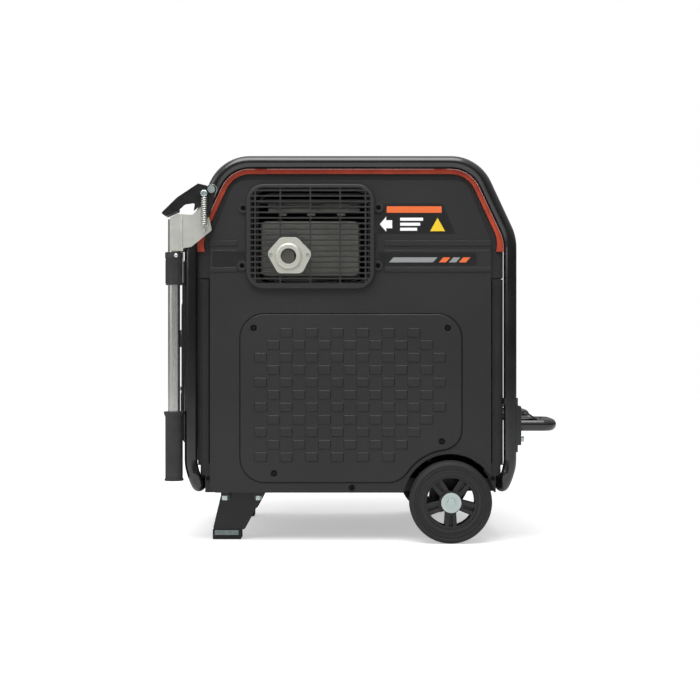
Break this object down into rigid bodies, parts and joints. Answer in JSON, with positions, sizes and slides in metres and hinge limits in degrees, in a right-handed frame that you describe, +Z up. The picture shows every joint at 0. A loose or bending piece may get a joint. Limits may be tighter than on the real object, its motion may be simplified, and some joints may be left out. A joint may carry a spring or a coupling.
{
  "type": "portable generator",
  "caption": "Closed-case portable inverter generator in a tube frame, with wheels, feet, folding handles, exhaust guard and a front control panel.",
  "frame": {"origin": "on the ground, under the middle of the generator's bounding box", "axes": "+X to the rear (wheel end), -Y the near side with the exhaust guard and service cover, +Z up"},
  "size_m": [0.7898, 0.587, 0.774],
  "materials": {
    "frame_paint": "gloss black enamel",
    "case_plastic": "fine grained black moulding",
    "trim_paint": "satin red-orange enamel",
    "tray_paint": "black powder coat",
    "guard_black": "satin black heat-proof enamel",
    "zinc": "bright zinc plate",
    "handle_metal": "clear anodised",
    "grip_rubber": "ribbed",
    "tyre_rubber": "fine tread",
    "rim_plastic": "moulded",
    "lever_plastic": "moulded",
    "spring_steel": "zinc plated wire",
    "exhaust_steel": "dull heat-stained sheet",
    "engine_metal": "as cast",
    "winding": "enamelled copper and laminations",
    "tank_plastic": "moulded",
    "socket_plastic": "moulded",
    "control_plastic": "moulded",
    "button_red": "moulded",
    "screen": "smooth clear window",
    "plate_paint": "satin dark enamel",
    "brass_stud": "plain"
  },
  "bodies": {
    "frame": {"hoop_near": "frame_paint", "hoop_far": "frame_paint", "bottom_tubes": "frame_paint", "top_tubes": "frame_paint", "corner_pillars": "tray_paint", "base_tray": "tray_paint", "top_cover": "case_plastic", "trim_strips": "trim_paint", "side_panel_near": "case_plastic", "side_panel_far": "case_plastic", "service_cover": "case_plastic", "exhaust_grille": "guard_black", "front_panel": "case_plastic", "control_plate": "plate_paint", "rear_panel": "case_plastic", "axle": "zinc", "axle_brackets": "tray_paint", "front_foot_near": "tray_paint", "front_foot_far": "tray_paint", "foot_pads": "grip_rubber", "lifting_loop_near": "frame_paint", "lifting_loop_far": "frame_paint", "zinc_fasteners": "zinc", "cover_screws": "guard_black", "power_sockets": "socket_plastic", "display": "screen", "earth_terminal": "brass_stud", "fuel_tank": "tank_plastic", "engine_block": "engine_metal", "cylinder": "engine_metal", "stator": "winding", "engine_mounts": "grip_rubber", "muffler": "exhaust_steel", "exhaust_outlet": "exhaust_steel", "exhaust_surround": "exhaust_steel", "inverter_unit": "engine_metal", "air_filter": "tank_plastic", "battery": "tank_plastic"},
    "wheel_near": {"tyre_near": "tyre_rubber", "wheel_rim_near": "rim_plastic"},
    "wheel_far": {"tyre_far": "tyre_rubber", "wheel_rim_far": "rim_plastic"},
    "handle_near": {"handle_bracket_near": "zinc", "handle_tube_near": "handle_metal", "handle_grip_near": "grip_rubber", "release_spring_near": "spring_steel"},
    "handle_far": {"handle_bracket_far": "zinc", "handle_tube_far": "handle_metal", "handle_grip_far": "grip_rubber", "release_spring_far": "spring_steel"},
    "lever_near": {"release_lever_near": "lever_plastic"},
    "lever_far": {"release_lever_far": "lever_plastic"},
    "fuel_cap": {"fuel_cap": "control_plastic"},
    "start_button": {"start_button": "button_red"},
    "engine_knob": {"engine_knob": "control_plastic"},
    "eco_rocker": {"eco_rocker": "control_plastic"},
    "breaker_rocker": {"breaker_rocker": "control_plastic"},
    "socket_lid": {"socket_lid": "socket_plastic"},
    "round_socket_lid": {"round_socket_lid": "socket_plastic"},
    "rotor": {"rotor": "exhaust_steel"}
  },
  "joints": [
    {"name": "wheel_near_spin", "type": "hinge", "parent": "frame", "child": "wheel_near", "pos_m": [0.1796, -0.258, 0.0825], "axis": [0, 1, 0], "continuous": true},
    {"name": "handle_near_fold", "type": "hinge", "parent": "frame", "child": "handle_near", "pos_m": [-0.2968, -0.26, 0.705], "axis": [0, 1, 0], "range_deg": [0, 85]},
    {"name": "lever_near_release", "type": "hinge", "parent": "handle_near", "child": "lever_near", "pos_m": [-0.2968, -0.278, 0.705], "axis": [0, 1, 0], "range_deg": [0, 12], "stiffness_Nm_per_rad": 2, "springref_deg": -14.32, "deforming": ["release_spring_near"]},
    {"name": "wheel_far_spin", "type": "hinge", "parent": "frame", "child": "wheel_far", "pos_m": [0.1796, 0.258, 0.0825], "axis": [0, 1, 0], "continuous": true},
    {"name": "handle_far_fold", "type": "hinge", "parent": "frame", "child": "handle_far", "pos_m": [-0.2968, 0.26, 0.705], "axis": [0, 1, 0], "range_deg": [0, 85]},
    {"name": "lever_far_release", "type": "hinge", "parent": "handle_far", "child": "lever_far", "pos_m": [-0.2968, 0.278, 0.705], "axis": [0, 1, 0], "range_deg": [0, 12], "stiffness_Nm_per_rad": 2, "springref_deg": -14.32, "deforming": ["release_spring_far"]},
    {"name": "fuel_cap_turn", "type": "hinge", "parent": "frame", "child": "fuel_cap", "pos_m": [0.0996, 0.09, 0.758], "axis": [0, 0, 1], "range_deg": [0, 90]},
    {"name": "start_button_press", "type": "slide", "parent": "frame", "child": "start_button", "axis": [1, 0, 0], "range_m": [0, 0.003], "stiffness_N_per_m": 400, "springref_m": -0.002},
    {"name": "engine_knob_turn", "type": "hinge", "parent": "frame", "child": "engine_knob", "pos_m": [-0.3764, -0.13, 0.41], "axis": [1, 0, 0], "range_deg": [0, 90]},
    {"name": "eco_rocker_tip", "type": "hinge", "parent": "frame", "child": "eco_rocker", "pos_m": [-0.3684, 0.01, 0.41], "axis": [0, 1, 0], "range_deg": [-8, 8]},
    {"name": "breaker_rocker_tip", "type": "hinge", "parent": "frame", "child": "breaker_rocker", "pos_m": [-0.3684, 0.08, 0.41], "axis": [0, 1, 0], "range_deg": [-8, 8]},
    {"name": "socket_lid_open", "type": "hinge", "parent": "frame", "child": "socket_lid", "pos_m": [-0.3734, -0.105, 0.305], "axis": [0, 1, 0], "range_deg": [0, 100], "stiffness_Nm_per_rad": 0.03, "springref_deg": -22.92},
    {"name": "round_socket_lid_open", "type": "hinge", "parent": "frame", "child": "round_socket_lid", "pos_m": [-0.3734, 0.085, 0.324], "axis": [0, 1, 0], "range_deg": [0, 100], "stiffness_Nm_per_rad": 0.05, "springref_deg": -22.92},
    {"name": "rotor_spin", "type": "hinge", "parent": "frame", "child": "rotor", "pos_m": [-0.0204, 0, 0.25], "axis": [1, 0, 0], "continuous": true}
  ]
}
